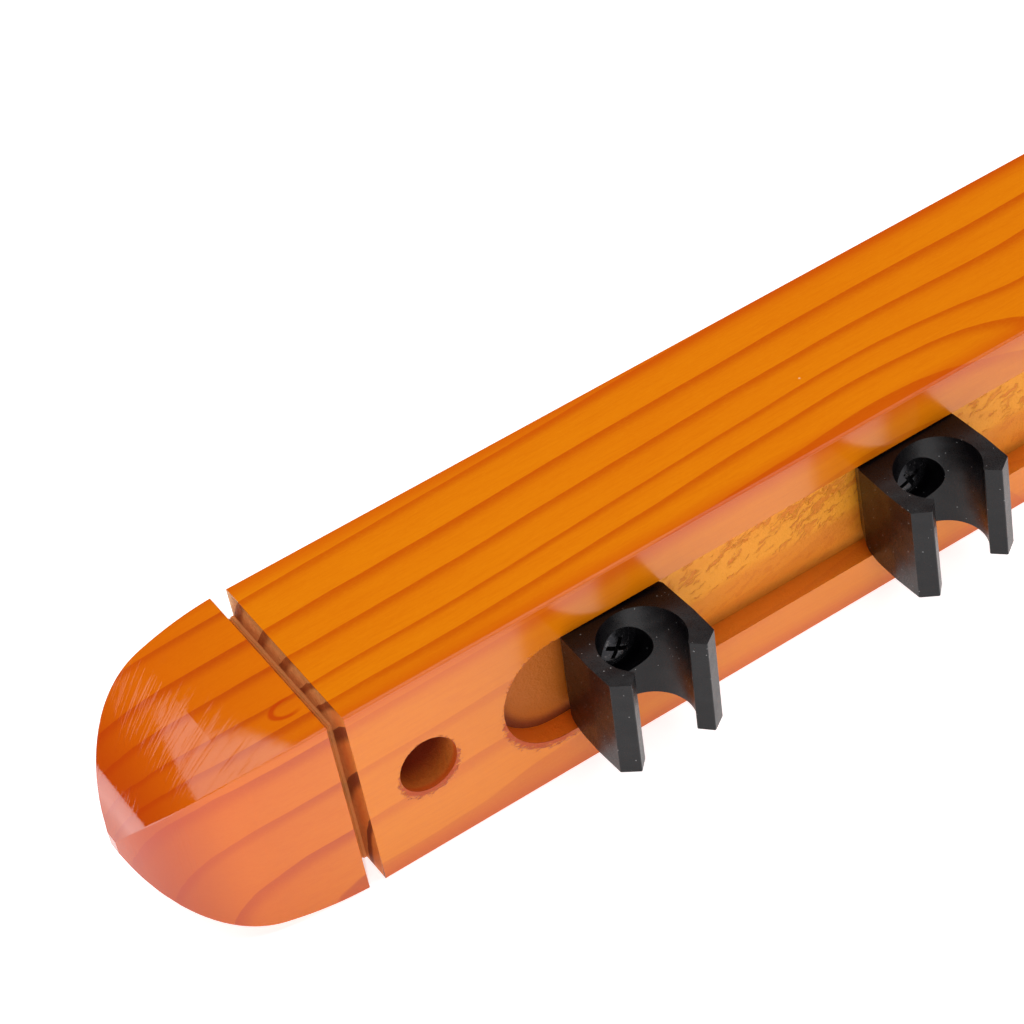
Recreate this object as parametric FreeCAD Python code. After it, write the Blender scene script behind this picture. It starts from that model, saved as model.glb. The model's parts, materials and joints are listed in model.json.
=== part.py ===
import FreeCAD, Part
import math
import os
from FreeCAD import Vector

# Wall cue rack, upper rail: one square softwood bar with a domed nose at each end, and a row of
# plastic spring clips screwed into a groove along its front.  The back of the bar lies on the wall.
#
# Frame, in millimetres: +X along the bar, +Z up, -Y out into the room.  The origin is the centre of
# the back face, so the wall is the plane Y = 0.

# --- driving dimensions -------------------------------------------------------------------------

# Bar
rail_size = 43.0            # square section, height and depth alike
arris_radius = 0.35         # sanding on the long edges
clip_count = 6
clip_pitch = 68.0           # centre to centre
end_margin = 55.0           # from the shoulder of the end groove to the first clip

# Domed noses
nose_length = 41.0          # from the shoulder of the end groove to the tip
nose_start = 0.6            # the dome begins this far past the shoulder
flank_radius = 116.0        # long shallow arc next to the bar
flank_sweep = math.radians(9.7)
tip_blunt = 0.4             # sanded off the very tip

# End groove: a saw-tooth notch with a square shoulder on the bar's side
notch_width = 3.5
notch_depth = 7.0
notch_heel = 0.5            # how far its bottom lies outside the shoulder

# Slot that holds the clips
slot_height = 24.0
slot_depth = 5.0
slot_from_shoulder = 30.0   # to the rounded end of the slot

# Wall screw holes
wall_hole_from_shoulder = 13.5
wall_counterbore_radius = 6.0
wall_counterbore_depth = 20.0
wall_hole_radius = 2.75

# Spring clip
clip_height = 22.0
clip_lift = 0.5             # above the middle of the slot
clip_half_back = 8.8        # half width at the floor of the slot
clip_half_mouth = 11.3      # half width at the front of the bar
clip_half_waist = 11.6      # half width at its widest
clip_half_corner = 11.4     # half width where the jaw's outer bevel starts
clip_waist_out = 9.5        # distances "out" are measured from the front of the bar
clip_corner_out = 16.1
ridge_half = 8.2            # the sharp front edge of each jaw
ridge_out = 18.4
throat_half = 5.75          # half of the mouth the cue is pushed through
channel_radius = 8.45       # the round seat of the cue shaft
channel_out = 9.65
clip_edge_radius = 0.35
clip_back_radius = 0.8      # the upright edges on the floor of the slot
clip_foot_radius = 2.2      # along the bottom of the clip's back
seat_radius = 5.8           # sunk hole for the screw head
seat_depth = 2.2            # of the head's seat, behind the front of the bar
screw_lift = 1.2            # of the screw above the middle of the clip

# Each clip is held by one screw, so it sits a little out of square: degrees about +Y, left to right
clip_turns = (2.3, -0.7, 1.1, -1.4, 0.6, -1.0)

# Clip screw
head_radius = 4.3
head_height = 2.2
head_crown = 0.8            # the domed part of the head's height
shank_radius = 1.9
shank_length = 17.0
point_length = 3.0
thread_room = 0.1           # round the shank, in the clip and in the wood
recess_length = 4.8         # tip to tip of the cross
recess_width = 1.0
recess_depth = 1.5
first_recess_angle = 28.0
recess_angle_step = 37.0

# --- worked out from them -----------------------------------------------------------------------

half_size = rail_size / 2.0
front_y = -rail_size
half_body = end_margin + clip_pitch * (clip_count - 1) / 2.0
tip_x = half_body + nose_length
first_clip_x = end_margin - half_body
floor_y = front_y + slot_depth


def out(distance):
    """The Y of a plane that lies this far in front of the bar."""
    return front_y - distance


def clip_x(index):
    return first_clip_x + index * clip_pitch


# --- bar ----------------------------------------------------------------------------------------

def nose_arcs(side, up):
    """One quarter of the nose's outline in the XZ plane: a shallow flank arc, then the tip's arc."""
    start_x = half_body + nose_start
    join_x = start_x + flank_radius * math.sin(flank_sweep)
    join_z = half_size - flank_radius * (1.0 - math.cos(flank_sweep))
    run_x = tip_x - join_x
    # the second arc leaves the first one tangentially and ends at the tip, at mid height
    lean = join_z * math.cos(flank_sweep) - run_x * math.sin(flank_sweep)
    tip_radius = (run_x ** 2 + join_z ** 2) / (2.0 * lean)
    centre_x = join_x - tip_radius * math.sin(flank_sweep)
    centre_z = join_z - tip_radius * math.cos(flank_sweep)
    tip_angle = math.atan2(-centre_z, tip_x - centre_x)
    middle_angle = (math.pi / 2.0 - flank_sweep + tip_angle) / 2.0

    def point(x, z):
        return Vector(side * x, 0.0, up * z)

    flank_mid = point(start_x + flank_radius * math.sin(flank_sweep / 2.0),
                      half_size - flank_radius * (1.0 - math.cos(flank_sweep / 2.0)))
    tip_mid = point(centre_x + tip_radius * math.cos(middle_angle),
                    centre_z + tip_radius * math.sin(middle_angle))
    start = point(start_x, half_size)
    join = point(join_x, join_z)
    tip = point(tip_x, 0.0)
    return [Part.Arc(start, flank_mid, join).toShape(), Part.Arc(join, tip_mid, tip).toShape()]


def bar_outline():
    """The bar's outline from the front: a long strip with a domed nose at both ends."""
    start_x = half_body + nose_start
    edges = []
    for up in (1.0, -1.0):
        left = Vector(-start_x, 0.0, up * half_size)
        right = Vector(start_x, 0.0, up * half_size)
        edges.append(Part.makeLine(left, right))
        for side in (1.0, -1.0):
            edges.extend(nose_arcs(side, up))
    return Part.Face(Part.Wire(Part.sortEdges(edges)[0]))


def bar_blank():
    """Square bar whose four sides all curve in to each tip, with every long edge sanded."""
    side_view = bar_outline().extrude(Vector(0.0, -rail_size, 0.0))
    top_view = side_view.copy()
    top_view.rotate(Vector(0.0, -half_size, 0.0), Vector(1.0, 0.0, 0.0), 90.0)
    blank = side_view.common(top_view)
    blunt_length = 2.0 * (tip_x - tip_blunt)
    keep = Part.makeBox(blunt_length, rail_size, rail_size, Vector(-blunt_length / 2.0, -rail_size, -half_size))
    blank = blank.common(keep)
    long_edges = [edge for edge in blank.Edges if edge_runs_lengthways(edge)]
    return blank.makeFillet(arris_radius, long_edges)


def edge_runs_lengthways(edge):
    """True for the four long edges and the creases that carry them on to the tips."""
    first = edge.valueAt(edge.FirstParameter)
    last = edge.valueAt(edge.LastParameter)
    middle_y = (first.y + last.y) / 2.0 + half_size
    middle_z = (first.z + last.z) / 2.0
    on_a_corner = abs(abs(middle_y) - abs(middle_z)) < 0.01
    return on_a_corner and abs(last.x - first.x) > arris_radius


def end_notch(side):
    """The cutter for one end groove, across the top face and down the front face."""
    shoulder = side * half_body
    heel = side * (half_body + notch_heel)
    lip = side * (half_body + notch_width)
    overrun = 1.0
    top = Part.makePolygon([
        Vector(shoulder, overrun, half_size - notch_depth),
        Vector(heel, overrun, half_size - notch_depth),
        Vector(lip, overrun, half_size),
        Vector(lip, overrun, half_size + overrun),
        Vector(shoulder, overrun, half_size + overrun),
        Vector(shoulder, overrun, half_size - notch_depth),
    ])
    across = Part.Face(top).extrude(Vector(0.0, -rail_size - 2.0 * overrun, 0.0))
    down = across.copy()
    down.rotate(Vector(0.0, -half_size, 0.0), Vector(1.0, 0.0, 0.0), 90.0)
    return across.fuse(down)


def slot_cutter():
    """The long slot for the clips, with half-round ends."""
    radius = slot_height / 2.0
    end_x = half_body - slot_from_shoulder - radius
    out_of_slot = Vector(0.0, -slot_depth - 1.0, 0.0)
    middle = Part.makeBox(2.0 * end_x, slot_depth + 1.0, slot_height,
                          Vector(-end_x, front_y - 1.0, -radius))
    ends = [Part.makeCylinder(radius, slot_depth + 1.0, Vector(side * end_x, floor_y, 0.0), out_of_slot)
            for side in (1.0, -1.0)]
    return middle.fuse(ends)


def wall_hole_cutter(side):
    """A sunk hole for a wall screw, open at the front and right through to the back."""
    x = side * (half_body - wall_hole_from_shoulder)
    inwards = Vector(0.0, 1.0, 0.0)
    mouth = Part.makeCylinder(wall_counterbore_radius, wall_counterbore_depth,
                              Vector(x, front_y, 0.0), inwards)
    through = Part.makeCylinder(wall_hole_radius, rail_size, Vector(x, front_y, 0.0), inwards)
    return mouth.fuse(through)


def pilot_hole_cutter(index):
    """The hole in the slot's floor that one clip screw bites into."""
    depth = seat_depth + shank_length - slot_depth + 1.0
    return Part.makeCylinder(shank_radius + thread_room, depth,
                             Vector(clip_x(index), floor_y, clip_lift + screw_lift), Vector(0.0, 1.0, 0.0))


def make_rail():
    cutters = [slot_cutter()]
    for side in (1.0, -1.0):
        cutters.append(end_notch(side))
        cutters.append(wall_hole_cutter(side))
    for index in range(clip_count):
        cutters.append(pilot_hole_cutter(index))
    return bar_blank().cut(cutters)


# --- spring clip --------------------------------------------------------------------------------

def clip_profile():
    """The clip seen from above, centred on X = 0: a block with a round channel and two jaws."""
    throat_out = channel_out + math.sqrt(channel_radius ** 2 - throat_half ** 2)
    side_points = [
        (clip_half_back, floor_y),
        (clip_half_mouth, front_y),
        (clip_half_waist, out(clip_waist_out)),
        (clip_half_corner, out(clip_corner_out)),
        (ridge_half, out(ridge_out)),
        (throat_half, out(throat_out)),
    ]
    right = [Vector(x, y, 0.0) for x, y in side_points]
    left = [Vector(-x, y, 0.0) for x, y in side_points]
    channel_back = Vector(0.0, out(channel_out - channel_radius), 0.0)
    edges = [Part.makeLine(left[0], right[0])]
    for side in (right, left):
        edges.extend(Part.makeLine(a, b) for a, b in zip(side, side[1:]))
    edges.append(Part.Arc(right[-1], channel_back, left[-1]).toShape())
    return Part.Face(Part.Wire(Part.sortEdges(edges)[0]))


def make_clip():
    """One clip, upright, its height centred on Z = 0."""
    block = clip_profile().extrude(Vector(0.0, 0.0, clip_height))
    block.translate(Vector(0.0, 0.0, -clip_height / 2.0))
    jaw_edges = [edge for edge in block.Edges
                 if abs(edge.BoundBox.ZLength - clip_height) < 0.01
                 and edge.BoundBox.YMax < out(clip_corner_out - 1.0)]
    block = block.makeFillet(clip_edge_radius, jaw_edges)
    back_edges = [edge for edge in block.Edges
                  if abs(edge.BoundBox.ZLength - clip_height) < 0.01 and edge.BoundBox.YMin > floor_y - 0.01]
    block = block.makeFillet(clip_back_radius, back_edges)
    foot_edges = [edge for edge in block.Edges
                  if edge.BoundBox.ZMax < 0.01 - clip_height / 2.0 and edge.BoundBox.YMin > floor_y - 0.01]
    block = block.makeFillet(clip_foot_radius, foot_edges)
    inwards = Vector(0.0, 1.0, 0.0)
    middle = Vector(0.0, out(channel_out), screw_lift)
    head_room = Part.makeCylinder(seat_radius, channel_out + seat_depth, middle, inwards)
    shank_room = Part.makeCylinder(shank_radius + thread_room, channel_out + slot_depth, middle, inwards)
    return block.cut([head_room, shank_room])


# --- clip screw ---------------------------------------------------------------------------------

def make_screw(recess_angle):
    """A pan-head screw along +Y with a cross recess, its head seated in the clip."""
    seat_y = front_y + seat_depth
    crown_y = seat_y - head_height
    rim_y = crown_y + head_crown
    end_y = seat_y + shank_length
    crown_mid = Vector(0.6 * head_radius, crown_y + 0.25 * head_crown, 0.0)
    outline = [
        Part.Arc(Vector(0.0, crown_y, 0.0), crown_mid, Vector(head_radius, rim_y, 0.0)).toShape(),
        Part.makeLine(Vector(head_radius, rim_y, 0.0), Vector(head_radius, seat_y, 0.0)),
        Part.makeLine(Vector(head_radius, seat_y, 0.0), Vector(shank_radius, seat_y, 0.0)),
        Part.makeLine(Vector(shank_radius, seat_y, 0.0), Vector(shank_radius, end_y - point_length, 0.0)),
        Part.makeLine(Vector(shank_radius, end_y - point_length, 0.0), Vector(0.0, end_y, 0.0)),
        Part.makeLine(Vector(0.0, end_y, 0.0), Vector(0.0, crown_y, 0.0)),
    ]
    face = Part.Face(Part.Wire(Part.sortEdges(outline)[0]))
    screw = face.revolve(Vector(0.0, 0.0, 0.0), Vector(0.0, 1.0, 0.0), 360.0)
    return screw.cut(cross_recess(crown_y, recess_angle))


def cross_recess(crown_y, angle):
    """Two crossed slots and a pointed middle, cut into the head from its crown."""
    corner = Vector(-recess_length / 2.0, crown_y - 1.0, -recess_width / 2.0)
    bar = Part.makeBox(recess_length, recess_depth + 1.0, recess_width, corner)
    crossing = bar.copy()
    crossing.rotate(Vector(0.0, 0.0, 0.0), Vector(0.0, 1.0, 0.0), 90.0)
    point = Part.makeCone(recess_width, 0.0, recess_depth + 0.5, Vector(0.0, crown_y, 0.0), Vector(0.0, 1.0, 0.0))
    recess = bar.fuse([crossing, point])
    recess.rotate(Vector(0.0, 0.0, 0.0), Vector(0.0, 1.0, 0.0), angle)
    return recess


# --- assembly -----------------------------------------------------------------------------------

def placed(shape, index):
    """The shape turned with its clip and moved to its place along the slot."""
    copy = shape.copy()
    copy.rotate(Vector(0.0, 0.0, 0.0), Vector(0.0, 1.0, 0.0), clip_turns[index])
    copy.translate(Vector(clip_x(index), 0.0, clip_lift))
    return copy


def save(shape, name):
    solid = shape.Solids[0]
    solid.exportStep(os.path.join("parts", name + ".step"))
    print(name, "solids", len(shape.Solids), "valid", solid.isValid(), "volume", round(solid.Volume))


os.makedirs("parts", exist_ok=True)
save(make_rail(), "rail")
clip = make_clip()
for clip_index in range(clip_count):
    screw = make_screw(first_recess_angle + clip_index * recess_angle_step)
    screw.translate(Vector(0.0, 0.0, screw_lift))
    save(placed(clip, clip_index), "clip_%d" % (clip_index + 1))
    save(placed(screw, clip_index), "clip_screw_%d" % (clip_index + 1))
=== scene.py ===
import json
import math
from types import SimpleNamespace

import bpy
from mathutils import Matrix, Vector


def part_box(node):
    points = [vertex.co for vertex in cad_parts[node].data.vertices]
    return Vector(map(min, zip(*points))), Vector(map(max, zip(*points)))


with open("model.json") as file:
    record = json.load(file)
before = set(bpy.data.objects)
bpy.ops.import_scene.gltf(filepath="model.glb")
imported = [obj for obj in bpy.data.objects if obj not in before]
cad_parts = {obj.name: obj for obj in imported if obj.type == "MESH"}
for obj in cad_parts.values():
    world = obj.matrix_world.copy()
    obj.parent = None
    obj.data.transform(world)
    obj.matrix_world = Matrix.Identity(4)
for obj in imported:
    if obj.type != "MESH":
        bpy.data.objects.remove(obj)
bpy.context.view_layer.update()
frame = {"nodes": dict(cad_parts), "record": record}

# --- sizes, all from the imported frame, in metres ------------------------------------------------

rail_low, rail_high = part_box("rail")
top_z = rail_high.z
bottom_z = rail_low.z
front_y = rail_low.y
bar_size = top_z - bottom_z

mounts = {mount["name"]: mount for mount in frame["record"]["mounts"]}
wall_hole_x = mounts["wall_screws"]["dims"]["spacing_x_mm"] / 2000.0
clip_count = sum(name.startswith("cue_channel") for name in mounts)

# The same features as in the CAD source, in millimetres because the materials work in millimetres
HALF_SIZE = bar_size * 500.0
FRONT = front_y * 1000.0
WALL_HOLE_X = wall_hole_x * 1000.0
WALL_HOLE_RADIUS = 6.0
WALL_HOLE_FROM_SHOULDER = 13.5
SHOULDER_X = WALL_HOLE_X + WALL_HOLE_FROM_SHOULDER  # where the end groove starts
NOTCH_WIDTH = 3.5
NOTCH_DEPTH = 7.0
NOTCH_HEEL = 0.5
SLOT_HALF_HEIGHT = 12.0
SLOT_DEPTH = 5.0
SLOT_FROM_SHOULDER = 30.0
SLOT_END_X = SHOULDER_X - SLOT_FROM_SHOULDER


# --- a small helper for building node materials -------------------------------------------------

class Shader:
    """One node material.  Each method adds a node and hands back its output socket."""

    def __init__(self, name):
        self.material = bpy.data.materials.new(name)
        self.material.use_nodes = True
        self.nodes = self.material.node_tree.nodes
        self.links = self.material.node_tree.links
        self.surface = self.nodes["Principled BSDF"]
        coordinates = self.nodes.new("ShaderNodeTexCoord")
        self.position = self.scaled(coordinates.outputs["Object"], (1000.0, 1000.0, 1000.0))

    def put(self, value, socket):
        """Links a socket to another one, or sets it to a plain value."""
        if isinstance(value, bpy.types.NodeSocket):
            self.links.new(value, socket)
        else:
            socket.default_value = value

    def math(self, operation, a, b=0.0, c=0.0):
        node = self.nodes.new("ShaderNodeMath")
        node.operation = operation
        for socket, value in zip(node.inputs, (a, b, c)):
            self.put(value, socket)
        return node.outputs[0]

    def add(self, a, b):
        return self.math("ADD", a, b)

    def subtract(self, a, b):
        return self.math("SUBTRACT", a, b)

    def multiply(self, a, b):
        return self.math("MULTIPLY", a, b)

    def both(self, *masks):
        """The product of several masks."""
        result = masks[0]
        for mask in masks[1:]:
            result = self.multiply(result, mask)
        return result

    def either(self, a, b):
        """The larger of two masks or numbers."""
        return self.math("MAXIMUM", a, b)

    def length(self, a, b):
        """The distance that two legs at a right angle span."""
        return self.math("SQRT", self.add(self.multiply(a, a), self.multiply(b, b)))

    def swing(self, noise, width):
        """Noise brought to swing evenly about 0 over this width."""
        return self.multiply(self.subtract(noise, 0.5), width)

    def axes(self, vector):
        node = self.nodes.new("ShaderNodeSeparateXYZ")
        self.put(vector, node.inputs[0])
        return node.outputs[0], node.outputs[1], node.outputs[2]

    def vector(self, x, y, z):
        node = self.nodes.new("ShaderNodeCombineXYZ")
        for socket, value in zip(node.inputs, (x, y, z)):
            self.put(value, socket)
        return node.outputs[0]

    def scaled(self, vector, factors):
        node = self.nodes.new("ShaderNodeVectorMath")
        node.operation = "MULTIPLY"
        self.put(vector, node.inputs[0])
        node.inputs[1].default_value = factors
        return node.outputs[0]

    def stretched(self, share):
        """The position with X shortened to this share, which draws a noise out along the grain."""
        return self.scaled(self.position, (share, 1.0, 1.0))

    def noise(self, vector, scale, detail=2.0, roughness=0.5, offset=0.0):
        """Fractal noise from 0 to 1.  The scale is in features per millimetre of the vector."""
        node = self.nodes.new("ShaderNodeTexNoise")
        node.noise_dimensions = "4D"
        self.put(vector, node.inputs["Vector"])
        node.inputs["W"].default_value = offset
        node.inputs["Scale"].default_value = scale
        node.inputs["Detail"].default_value = detail
        node.inputs["Roughness"].default_value = roughness
        return node.outputs["Fac"]

    def cells(self, vector, scale):
        """Distance to the nearest of scattered points."""
        node = self.nodes.new("ShaderNodeTexVoronoi")
        self.put(vector, node.inputs["Vector"])
        node.inputs["Scale"].default_value = scale
        return node.outputs["Distance"]

    def fade(self, value, start, end, low=0.0, high=1.0):
        """Runs smoothly from low to high as the value goes from start to end."""
        node = self.nodes.new("ShaderNodeMapRange")
        node.interpolation_type = "SMOOTHSTEP"
        self.put(value, node.inputs["Value"])
        for name, number in (("From Min", start), ("From Max", end), ("To Min", low), ("To Max", high)):
            self.put(number, node.inputs[name])
        return node.outputs["Result"]

    def below(self, value, limit):
        return self.math("LESS_THAN", value, limit)

    def above(self, value, limit):
        return self.math("GREATER_THAN", value, limit)

    def mix(self, factor, a, b):
        """Colour a at factor 0, colour b at factor 1."""
        node = self.nodes.new("ShaderNodeMix")
        node.data_type = "RGBA"
        self.put(factor, node.inputs["Factor"])
        self.put(a, node.inputs["A"])
        self.put(b, node.inputs["B"])
        return next(socket for socket in node.outputs if socket.type == "RGBA")

    def bump(self, height, distance, normal=None):
        """A bump whose height of 1 stands this many metres proud."""
        node = self.nodes.new("ShaderNodeBump")
        node.inputs["Distance"].default_value = distance
        node.inputs["Strength"].default_value = 1.0
        self.put(height, node.inputs["Height"])
        if normal is not None:
            self.put(normal, node.inputs["Normal"])
        return node.outputs["Normal"]

    def piecewise(self, value, points):
        """A curve of straight runs through (value, result) points."""
        low = points[0][0]
        high = points[-1][0]
        top = points[-1][1]
        share = self.math("DIVIDE", self.subtract(value, low), high - low)
        node = self.nodes.new("ShaderNodeFloatCurve")
        curve = node.mapping.curves[0]
        while len(curve.points) < len(points):
            curve.points.new(0.5, 0.5)
        for point, (x, y) in zip(curve.points, points):
            point.location = ((x - low) / (high - low), y / top)
            point.handle_type = "VECTOR"
        node.mapping.update()
        self.put(share, node.inputs["Value"])
        return self.multiply(node.outputs[0], top)


def colour(red, green, blue):
    """A linear colour from 0-255 screen values."""
    def linear(value):
        value /= 255.0
        return value / 12.92 if value <= 0.04045 else ((value + 0.055) / 1.055) ** 2.4
    return linear(red), linear(green), linear(blue), 1.0


# --- wood ---------------------------------------------------------------------------------------

# The pith of the tree ran in front of the bar and below it, along X, so the rings cross the section
# as arcs.  Radii where each year ends, in millimetres, thin and thick years as they grew.
PITH_Y = -74.0
PITH_Z = -24.0
YEAR_ENDS = (12.0, 19.0, 26.5, 33.5, 38.4, 46.3, 54.8, 59.9, 64.2, 70.3, 77.1, 85.0, 92.0, 99.0)

# Masks of the cuts start this far under the outer faces, and reach this far past their own faces
SKIN = 0.12
SLACK = 0.1


def wood_places(shader):
    """Coordinates and distances that the wood's patterns are laid out by, in millimetres."""
    x, y, z = shader.axes(shader.position)
    place = SimpleNamespace(x=x, y=y, z=z)
    place.from_middle = shader.math("ABSOLUTE", x)
    place.from_centre = shader.math("ABSOLUTE", z)
    place.depth = shader.subtract(y, FRONT)
    place.from_hole = shader.length(shader.subtract(place.from_middle, WALL_HOLE_X), z)
    # distance from the slot's centre line, whose ends are half-round
    past_end = shader.either(shader.subtract(place.from_middle, SLOT_END_X - SLOT_HALF_HEIGHT), 0.0)
    place.from_slot = shader.length(past_end, z)
    # the slot's rounded end, which the cutter left smooth
    place.pocket = shader.fade(place.from_middle, SLOT_END_X - 28.0, SLOT_END_X - 16.0)
    return place


def cut_masks(shader, place):
    """Masks for the cut surfaces, where the tools left bare or rough wood under thin lacquer."""
    off_back = shader.below(place.y, -SKIN)
    off_top = shader.below(place.z, HALF_SIZE - SKIN)
    off_bottom = shader.above(place.z, SKIN - HALF_SIZE)
    off_front = shader.above(place.y, FRONT + SKIN)

    notch_length = shader.both(shader.above(place.from_middle, SHOULDER_X - SLACK),
                               shader.below(place.from_middle, SHOULDER_X + NOTCH_HEEL + SLACK))
    across_top = shader.both(shader.above(place.z, HALF_SIZE - NOTCH_DEPTH - SLACK), off_back)
    down_front = shader.both(shader.below(place.y, FRONT + NOTCH_DEPTH + SLACK), off_bottom)
    notch = shader.both(notch_length, shader.either(across_top, down_front), off_top, off_front)

    hole = shader.both(shader.below(place.from_hole, WALL_HOLE_RADIUS + SLACK), off_front, off_back)
    slot = shader.both(shader.below(place.from_slot, SLOT_HALF_HEIGHT + SLACK), off_front,
                       shader.below(place.y, FRONT + SLOT_DEPTH + SLACK))
    slot_floor = shader.both(slot, shader.above(place.y, FRONT + SLOT_DEPTH - SLACK))
    return SimpleNamespace(notch=notch, hole=hole, slot=slot, slot_floor=slot_floor,
                           front_face=shader.subtract(1.0, off_front))


def growth_rings(shader, place):
    """The share of the year, from 0 at its start to 1 at its end, and how dark its wood is."""
    radius = shader.length(shader.subtract(place.y, PITH_Y), shader.subtract(place.z, PITH_Z))
    # the trunk leans a little, swells next to a knot that lies in front of the bar, and wavers
    bend = shader.math("TANH", shader.math("DIVIDE", shader.add(place.x, 163.0), 41.0))
    lean = shader.multiply(bend, 2.0)
    swell = hill(shader, place.x, -108.0, 14.0, radius, 44.0, 11.0, 1.9)
    dip = hill(shader, place.x, -62.0, 20.0, radius, 55.0, 9.0, -7.0)
    wander = shader.swing(shader.noise(shader.stretched(0.25), 0.035, 1.0, offset=3.0), 1.6)
    waver = shader.swing(shader.noise(shader.stretched(0.16), 0.22, 2.0, offset=8.0), 0.9)
    grown = radius
    for shift in (lean, swell, dip, wander, waver):
        grown = shader.subtract(grown, shift)
    count = shader.piecewise(grown, [(end, float(year)) for year, end in enumerate(YEAR_ENDS)])
    share = shader.math("FRACT", count)

    # late wood darkens slowly and ends with a crisp line, broader in some years than in others
    year_tone = shader.noise(shader.vector(shader.math("FLOOR", count), 0.0, 0.0), 0.73, 0.0, offset=5.0)
    onset = shader.fade(year_tone, 0.3, 0.7, 0.58, 0.78)
    late = shader.multiply(shader.math("POWER", share, 2.2), 0.38)
    crisp = shader.multiply(shader.fade(share, onset, 0.94), 0.62)
    ends = shader.fade(share, 0.975, 1.0, 1.0, 0.0)
    line = shader.both(shader.add(late, crisp), ends, shader.fade(year_tone, 0.3, 0.7, 1.0, 0.8))
    return SimpleNamespace(share=share, ends=ends, line=line)


def hill(shader, x, centre, width, radius, start, depth, height):
    """A local bulge of the rings along the bar that dies out away from the pith."""
    along = shader.math("DIVIDE", shader.subtract(x, centre), width)
    across = shader.math("DIVIDE", shader.either(shader.subtract(radius, start), 0.0), depth)
    fall = shader.add(shader.multiply(along, along), across)
    return shader.multiply(shader.math("EXPONENT", shader.multiply(fall, -1.0)), height)


def stained_wood(shader, place, rings, fibres):
    """The planed faces: stain over the rings and the fibres, darker on the noses."""
    fine_fibres = shader.noise(shader.stretched(0.12), 9.0, 2.0, 0.6, offset=2.0)
    blotches = shader.noise(shader.stretched(0.4), 0.05, 2.0, offset=4.0)
    early = shader.mix(blotches, colour(227, 129, 5), colour(222, 117, 3))
    on_nose = shader.fade(place.from_middle, SHOULDER_X, SHOULDER_X + NOTCH_WIDTH)
    late = shader.mix(on_nose, colour(198, 84, 2), colour(176, 66, 8))
    # the lines are fainter on the bar's front, back and underside than on its top
    off_top = shader.subtract(shader.below(place.z, HALF_SIZE - 0.3), on_nose)
    line = shader.multiply(rings.line, shader.fade(off_top, 0.0, 1.0, 1.0, 0.55))
    stained = shader.mix(line, early, late)
    stained = shader.mix(shader.fade(fibres, 0.35, 0.75, 0.0, 0.25), stained, colour(205, 92, 2))
    stained = shader.mix(shader.fade(fine_fibres, 0.45, 0.8, 0.0, 0.25), stained, colour(240, 150, 24))
    gathered = shader.multiply(gathered_stain(shader, place, on_nose), 0.62)
    stained = shader.mix(gathered, stained, colour(202, 78, 4))
    tip = shader.fade(place.from_middle, SHOULDER_X + 22.0, SHOULDER_X + 38.0, 0.0, 0.75)
    return shader.mix(tip, stained, colour(166, 48, 3))


def gathered_stain(shader, place, on_nose):
    """Where the stain gathered: along the long edges, and more and more towards the tips."""
    from_y_faces = shader.math("MINIMUM", place.depth, shader.multiply(place.y, -1.0))
    off_edge_y = shader.fade(from_y_faces, 0.0, 5.0)
    off_edge_z = shader.fade(shader.subtract(HALF_SIZE, place.from_centre), 0.0, 5.0)
    edge = shader.subtract(1.0, shader.either(off_edge_y, off_edge_z))
    on_top = shader.above(place.z, HALF_SIZE - 0.05)
    along_top = shader.both(on_top, shader.subtract(1.0, off_edge_y))
    nose = shader.both(on_nose, shader.fade(place.from_middle, SHOULDER_X, SHOULDER_X + 26.0, 0.5, 0.9))
    return shader.either(shader.either(edge, along_top), nose)


def notch_wood(shader, place, rings, smears):
    """Bare end wood in the end groove, with stain soaked in down the front."""
    spot = shader.fade(rings.share, 0.58, 0.8)
    bare = shader.mix(shader.both(spot, rings.ends), colour(240, 188, 116), colour(158, 92, 44))
    bare = shader.mix(shader.fade(smears, 0.35, 0.7, 0.0, 0.55), bare, colour(200, 132, 66))
    bottom = shader.both(shader.below(place.z, HALF_SIZE - NOTCH_DEPTH + 0.3),
                         shader.above(place.y, FRONT + NOTCH_DEPTH - 0.3))
    bare = shader.mix(bottom, bare, colour(226, 150, 80))
    soaked = shader.mix(spot, colour(226, 118, 24), colour(116, 38, 4))
    return shader.mix(shader.fade(place.depth, 2.0, 9.0, 0.75, 0.0), bare, soaked)


def hole_wood(shader, place, smears):
    """The wall of a wall screw's hole: stained at the mouth, raw farther in, with painted shade darkening
    it deeper in.
    """
    raw_and_shaded = shader.mix(smears, colour(190, 84, 14), colour(236, 140, 50))
    # painted shade: the wall darkens deeper into the hole
    raw_and_shaded = shader.mix(shader.fade(place.depth, 1.5, 8.0), raw_and_shaded, colour(142, 46, 8))
    return shader.mix(shader.fade(place.depth, 0.6, 1.6), colour(214, 88, 2), raw_and_shaded)


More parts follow.
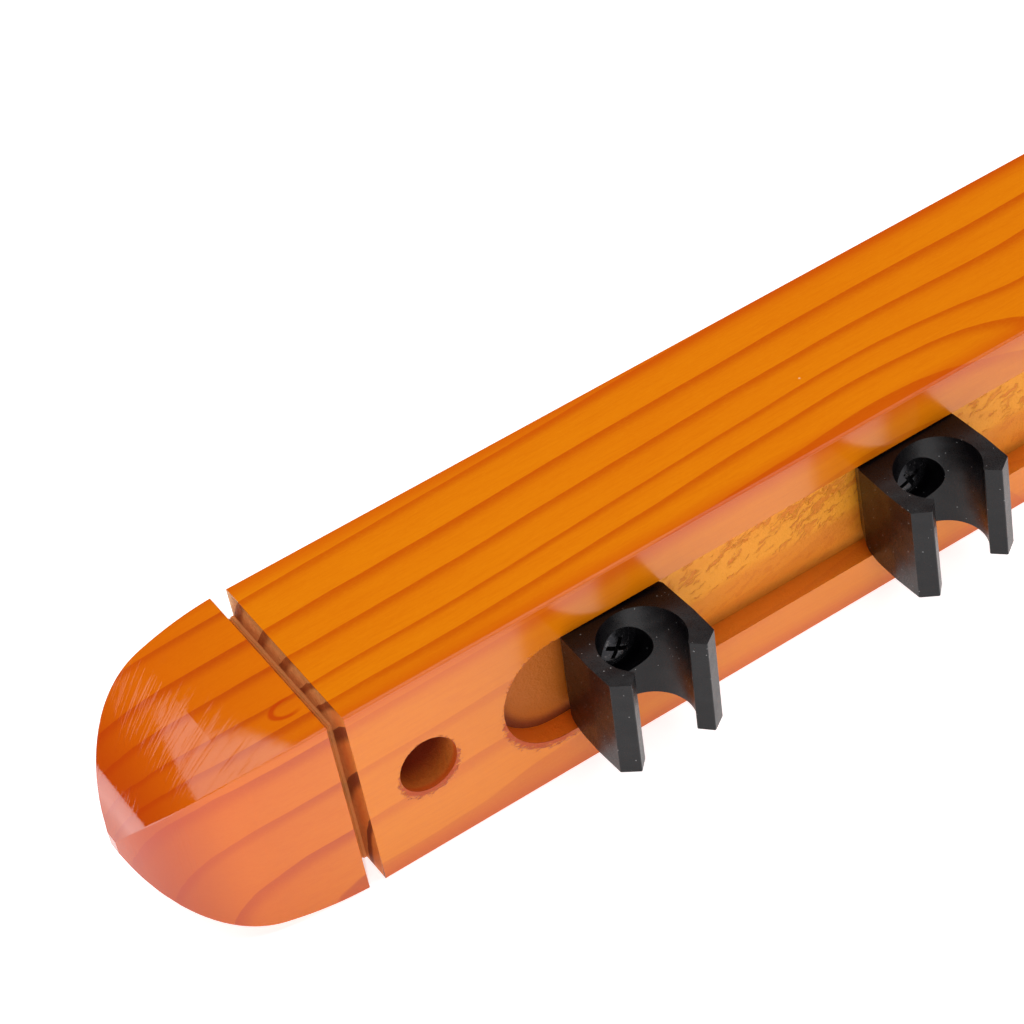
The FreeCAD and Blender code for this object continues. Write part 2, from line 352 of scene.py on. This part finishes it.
def slot_wood(shader, place, rings, torn_band, tears):
    """Returns the colours of the slot's walls and of its floor."""
    cut = shader.mix(shader.multiply(rings.line, 0.3), colour(222, 122, 8), colour(200, 94, 4))
    walls = shader.mix(place.pocket, cut, colour(246, 118, 8))
    torn = shader.mix(shader.multiply(rings.line, 0.3), colour(246, 158, 30), colour(230, 132, 18))
    # darker where torn deepest: the torn wood's colour plus painted shade in the tear hollows
    torn = shader.mix(shader.multiply(tears, 0.6), torn, colour(214, 104, 2))
    smooth = shader.mix(place.pocket, shader.mix(0.35, cut, torn), colour(188, 98, 0))
    floor = shader.mix(torn_band, smooth, torn)
    # painted shade cast by the lower wall on the floor beside it, darkest in the corner and a deeper
    # red-brown in the rounded end
    painted_corner_shade = shader.both(shader.fade(place.from_slot, SLOT_HALF_HEIGHT - 3.0, SLOT_HALF_HEIGHT - 0.6),
                         shader.fade(place.z, -3.0, 2.0, 1.0, 0.0),
                         shader.fade(place.pocket, 0.0, 1.0, 0.4, 0.8))
    corner_shade_colour = shader.mix(place.pocket, colour(140, 86, 20), colour(112, 34, 2))
    return walls, shader.mix(painted_corner_shade, floor, corner_shade_colour)


def torn_band_mask(shader, place):
    """The upper half of the slot's floor, where the cutter tore short fibres out."""
    wavering = shader.multiply(shader.noise(shader.stretched(0.2), 0.4, 2.0, offset=11.0), 3.0)
    upper_half = shader.fade(shader.add(place.z, wavering), -3.2, -0.4)
    off_end = shader.fade(place.from_middle, SLOT_END_X - 24.0, SLOT_END_X - 34.0)
    return shader.both(upper_half, off_end)


def tear_marks(shader, place):
    """Short hooked strokes that climb across the grain, 1 where the wood is torn deepest; the slot floor
    is darkened there, partly the torn wood's own colour and partly painted shade in the tear hollows.
    """
    bend = shader.multiply(shader.noise(shader.position, 0.45, 2.0, offset=15.0), 2.2)
    along = shader.add(shader.multiply(place.x, 0.93), shader.multiply(place.z, 0.36))
    across = shader.subtract(shader.multiply(place.z, 0.93), shader.multiply(place.x, 0.36))
    drawn_out = shader.vector(shader.multiply(along, 0.3), 0.0, shader.add(across, bend))
    strokes = shader.noise(drawn_out, 0.95, 3.0, 0.6, offset=9.0)
    deep = shader.fade(strokes, 0.39, 0.48, 1.0, 0.0)
    sparse = shader.noise(shader.stretched(0.5), 0.5, 1.0, offset=10.0)
    return shader.both(deep, shader.fade(sparse, 0.3, 0.55, 0.65, 1.0))


def torn_rims(shader, place, cuts):
    """Fuzzy rims of the wall holes and of the slot's round ends, on the front face only."""
    fuzz = shader.noise(shader.stretched(0.45), 2.4, 3.0, 0.75, offset=12.0)
    reach = shader.add(shader.multiply(fuzz, 5.5), shader.fade(place.z, -6.0, 3.0, -0.9, -2.3))
    hole_rim = shader.fade(shader.subtract(place.from_hole, reach),
                           WALL_HOLE_RADIUS - 1.0, WALL_HOLE_RADIUS - 0.4, 1.0, 0.0)
    slot_rim = shader.fade(shader.subtract(place.from_slot, reach),
                           SLOT_HALF_HEIGHT - 1.0, SLOT_HALF_HEIGHT - 0.4, 1.0, 0.0)
    at_end = shader.fade(place.from_middle, SLOT_END_X - 22.0, SLOT_END_X - 10.0)
    return shader.both(shader.either(hole_rim, shader.multiply(slot_rim, at_end)), cuts.front_face)


def scratch_lines(shader, place):
    """Fine scratches, fanned over the rounded noses."""
    along_nose = shader.subtract(place.from_middle, SHOULDER_X + 20.0)
    slope = shader.add(0.25, shader.multiply(place.depth, 0.015))
    across = shader.add(shader.multiply(along_nose, slope), place.y)
    drawn_out = shader.vector(across, shader.multiply(along_nose, 0.05), 0.0)
    strokes = shader.fade(shader.noise(drawn_out, 1.9, 1.0, 0.5, offset=16.0), 0.52, 0.66)
    patches = shader.fade(shader.noise(shader.position, 0.12, 1.0, offset=17.0), 0.35, 0.6, 0.25, 1.0)
    on_dome = shader.fade(place.from_middle, SHOULDER_X + 12.0, SHOULDER_X + 24.0)
    return shader.both(strokes, patches, on_dome)


def with_resin_mark(shader, place, tone):
    """Adds a small hook of resin on top of the left nose."""
    along = shader.math("DIVIDE", shader.add(place.x, SHOULDER_X + 6.2), 3.2)
    across = shader.math("DIVIDE", shader.add(place.y, 33.7), 2.0)
    off_loop = shader.math("ABSOLUTE", shader.subtract(shader.length(along, across), 1.0))
    hook = shader.both(shader.fade(off_loop, 0.08, 0.3, 1.0, 0.0), shader.fade(along, -0.2, 0.8, 1.0, 0.0),
                       shader.above(place.z, HALF_SIZE - 4.0))
    return shader.mix(shader.multiply(hook, 0.8), tone, colour(190, 60, 4))


def with_specks(shader, tone):
    """Adds a few grains of pale dust and dark pits in the lacquer."""
    dust = shader.below(shader.cells(shader.position, 0.055), 0.014)
    pits = shader.below(shader.cells(shader.scaled(shader.position, (0.8, 1.0, 1.3)), 0.03), 0.011)
    tone = shader.mix(shader.multiply(dust, 0.5), tone, colour(250, 200, 150))
    return shader.mix(shader.multiply(pits, 0.8), tone, colour(60, 26, 8))


def lacquer_roughness(shader, place, rough_zone, scratches):
    """Glossy on the faces, dull where it is thin: on cut wood and along the sanded front edges."""
    scuffs = shader.noise(shader.stretched(0.35), 0.8, 3.0, 0.7, offset=13.0)
    gloss = shader.add(shader.fade(scuffs, 0.3, 0.8, 0.02, 0.045), shader.multiply(scratches, 0.16))
    from_z_faces = shader.subtract(HALF_SIZE, place.from_centre)
    sanded = shader.both(shader.fade(place.depth, 0.25, 0.9, 1.0, 0.0),
                         shader.fade(from_z_faces, 0.25, 0.9, 1.0, 0.0))
    on_front = shader.fade(place.depth, 0.1, 0.5, 0.2, 0.0)
    dull = shader.either(shader.multiply(rough_zone, 0.62), shader.multiply(sanded, 0.5))
    return shader.either(gloss, shader.either(dull, on_front))


def wood_relief(shader, rings, fibres, rough_zone, scratches, torn):
    """Faint grain and scratches in the lacquer, saw marks in the cuts, torn fibres in the slot."""
    lacquered = shader.subtract(1.0, rough_zone)
    grain = shader.add(shader.multiply(fibres, 0.6), shader.multiply(rings.share, 0.4))
    normal = shader.bump(shader.both(grain, lacquered), 0.000003)
    normal = shader.bump(shader.both(scratches, lacquered), 0.000007, normal)
    saw_marks = shader.noise(shader.position, 1.8, 3.0, 0.6, offset=14.0)
    normal = shader.bump(shader.both(saw_marks, rough_zone), 0.0002, normal)
    return shader.bump(torn, 0.00018, normal)


def wood_material():
    """Softwood under orange-brown stain and gloss lacquer, bare or torn where it was cut last."""
    shader = Shader("lacquered_wood")
    place = wood_places(shader)
    cuts = cut_masks(shader, place)
    rings = growth_rings(shader, place)
    fibres = shader.noise(shader.stretched(0.06), 2.6, 3.0, 0.6, offset=1.0)
    smears = shader.noise(shader.position, 1.1, 3.0, 0.65, offset=6.0)
    torn_band = torn_band_mask(shader, place)
    tears = tear_marks(shader, place)
    rim = torn_rims(shader, place, cuts)
    scratches = scratch_lines(shader, place)

    slot_walls, slot_floor = slot_wood(shader, place, rings, torn_band, tears)
    tone = stained_wood(shader, place, rings, fibres)
    tone = shader.mix(cuts.slot, tone, slot_walls)
    tone = shader.mix(cuts.slot_floor, tone, slot_floor)
    tone = shader.mix(cuts.hole, tone, hole_wood(shader, place, smears))
    tone = shader.mix(cuts.notch, tone, notch_wood(shader, place, rings, smears))
    tone = shader.mix(shader.multiply(rim, 0.9), tone, colour(178, 62, 0))
    tone = with_resin_mark(shader, place, tone)
    shader.put(with_specks(shader, tone), shader.surface.inputs["Base Color"])

    rough_zone = shader.math("MINIMUM", 1.0, shader.add(shader.either(cuts.notch, cuts.hole),
                                                        shader.either(cuts.slot, rim)))
    roughness = lacquer_roughness(shader, place, rough_zone, scratches)
    shader.put(roughness, shader.surface.inputs["Roughness"])
    shader.surface.inputs["IOR"].default_value = 1.5

    torn = shader.both(shader.subtract(1.0, tears), cuts.slot_floor, torn_band)
    relief = wood_relief(shader, rings, fibres, rough_zone, scratches, torn)
    shader.put(relief, shader.surface.inputs["Normal"])
    return shader.material


# --- plastic and steel --------------------------------------------------------------------------

def plastic_material():
    """Satin black moulded plastic with flow marks, a fine grit and a little dust."""
    shader = Shader("black_plastic")
    flow = shader.noise(shader.position, 0.12, 2.0, offset=1.0)
    grit = shader.noise(shader.position, 6.0, 2.0, 0.6, offset=2.0)
    tone = shader.mix(flow, colour(3, 2, 4), colour(8, 6, 9))
    dust = shader.both(shader.below(shader.cells(shader.position, 0.7), 0.085),
                       shader.above(shader.noise(shader.position, 0.3, 0.0, offset=7.0), 0.46))
    tone = shader.mix(shader.multiply(dust, 0.8), tone, colour(150, 150, 150))
    shader.put(tone, shader.surface.inputs["Base Color"])
    shader.surface.inputs["IOR"].default_value = 1.36
    shader.put(shader.fade(grit, 0.3, 0.7, 0.24, 0.36), shader.surface.inputs["Roughness"])
    texture = shader.bump(grit, 0.00003)
    shader.put(shader.bump(flow, 0.0004, texture), shader.surface.inputs["Normal"])
    return shader.material


def screw_material():
    """Black finish on steel, worn brighter in places."""
    shader = Shader("black_screw")
    wear = shader.noise(shader.position, 1.2, 4.0, 0.65, offset=1.0)
    tone = shader.mix(shader.fade(wear, 0.5, 0.75), colour(40, 40, 43), colour(96, 94, 94))
    shader.put(tone, shader.surface.inputs["Base Color"])
    shader.surface.inputs["Metallic"].default_value = 0.8
    shader.put(shader.fade(wear, 0.3, 0.7, 0.16, 0.3), shader.surface.inputs["Roughness"])
    shader.put(shader.bump(wear, 0.00005), shader.surface.inputs["Normal"])
    return shader.material


def table_material():
    """White studio table, lit from within so that it stays pale, and more so past the left nose."""
    shader = Shader("studio_table")
    patches = shader.noise(shader.position, 0.004, 2.0, offset=1.0)
    shader.put(shader.mix(patches, (0.80, 0.80, 0.81, 1.0), (0.78, 0.78, 0.79, 1.0)),
               shader.surface.inputs["Base Color"])
    shader.surface.inputs["Roughness"].default_value = 0.9
    shader.surface.inputs["Emission Color"].default_value = (1.0, 0.99, 1.0, 1.0)
    x = shader.axes(shader.position)[0]
    shader.put(shader.fade(x, -290.0, -370.0, 0.7, 2.6), shader.surface.inputs["Emission Strength"])
    return shader.material


def finish(node, material):
    """Gives a CAD node its material."""
    slots = frame["nodes"][node].material_slots
    if not slots:
        frame["nodes"][node].data.materials.append(material)
    for material_slot in slots:
        material_slot.material = material


wood = wood_material()
plastic = plastic_material()
steel = screw_material()
finish("rail", wood)
for number in range(1, clip_count + 1):
    finish("clip_%d" % number, plastic)
    finish("clip_screw_%d" % number, steel)


# --- table, light and camera --------------------------------------------------------------------

def make_table():
    """A wide pale table under the bar."""
    half_width = 4.0
    corners = [(-half_width, -half_width), (half_width, -half_width),
               (half_width, half_width), (-half_width, half_width)]
    mesh = bpy.data.meshes.new("table")
    mesh.from_pydata([(x, y, bottom_z) for x, y in corners], [], [(0, 1, 2, 3)])
    table = bpy.data.objects.new("table", mesh)
    bpy.context.scene.collection.objects.link(table)
    mesh.materials.append(table_material())


def area_light(name, centre, target, size, power):
    """A rectangular lamp of this size in metres that faces the target."""
    light = bpy.data.lights.new(name, "AREA")
    light.shape = "RECTANGLE"
    light.size, light.size_y = size
    light.energy = power
    lamp = bpy.data.objects.new(name, light)
    lamp.location = centre
    lamp.rotation_euler = (Vector(target) - Vector(centre)).to_track_quat("-Z", "Y").to_euler()
    bpy.context.scene.collection.objects.link(lamp)
    return lamp


def make_lights():
    """Three lamps over and in front of the bar, and a nearly dark studio round it."""
    # One wide softbox hangs level above and behind the bar, turned a little
    softbox = area_light("softbox", (-0.397, 0.252, 0.70), (-0.397, 0.252, 0.0), (1.4, 0.75), 7.4)
    softbox.rotation_euler = (0.0, 0.0, math.radians(-16.7))
    # A small one fills in over the right half, and one far out in front lights the slot and the clips
    area_light("fill", (0.20, -0.10, 0.75), (0.20, -0.10, 0.0), (0.7, 0.5), 1.2)
    area_light("key", (-0.55, -1.50, 0.90), (-0.15, -0.02, 0.0), (1.4, 1.0), 14.0)
    world = bpy.data.worlds.new("studio")
    world.use_nodes = True
    world.node_tree.nodes["Background"].inputs["Color"].default_value = (0.03, 0.03, 0.035, 1.0)
    bpy.context.scene.world = world
    bpy.context.scene.view_settings.view_transform = "Standard"


def make_camera():
    """A long lens above the left end, looking down along the front of the bar, tilted sideways."""
    camera = bpy.data.objects.new("camera", bpy.data.cameras.new("camera"))
    camera.data.sensor_width = 36.0
    camera.data.lens = 112.1
    location = Vector((-0.35783, -0.41169, 0.41752))
    target = Vector((-0.17385, -0.01862, top_z))
    sideways = math.radians(-11.52)
    aim = (target - location).to_track_quat("-Z", "Y").to_matrix().to_4x4()
    camera.matrix_world = Matrix.Translation(location) @ aim @ Matrix.Rotation(sideways, 4, "Z")
    bpy.context.scene.collection.objects.link(camera)
    bpy.context.scene.camera = camera


make_table()
make_lights()
make_camera()
